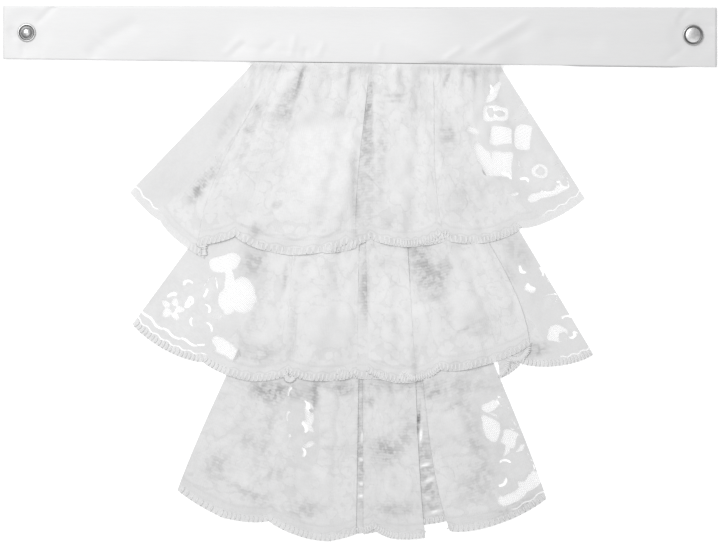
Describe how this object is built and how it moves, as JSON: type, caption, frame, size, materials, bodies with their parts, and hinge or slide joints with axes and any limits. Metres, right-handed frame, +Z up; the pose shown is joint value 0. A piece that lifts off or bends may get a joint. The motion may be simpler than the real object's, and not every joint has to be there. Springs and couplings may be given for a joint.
{
  "type": "lace jabot collar",
  "caption": "Detachable collar laid flat: a straight satin neckband with a snap half at each end, carrying three gathered tiers of scalloped floral lace.",
  "frame": {"origin": "on the surface that the collar lies on, under the middle of its length and height", "axes": "+X along the neckband towards the end with the cap, +Y from the hems to the neckband, +Z up from the surface towards the collar's front"},
  "size_m": [0.4004, 0.3012, 0.0102],
  "materials": {
    "satin": "white woven satin, soft sheen",
    "lace": "white knitted floral lace, matt",
    "backing_cloth": "plain white cloth, matt",
    "snap_metal": "nickel-plated, slightly worn"
  },
  "bodies": {
    "root": {"neckband": "satin", "backing": "backing_cloth", "tier_upper": "lace", "tier_middle": "lace", "tier_lower": "lace", "snap_stud": "snap_metal", "snap_stud_ring": "snap_metal", "snap_cap": "snap_metal", "snap_socket": "snap_metal"}
  },
  "joints": []
}
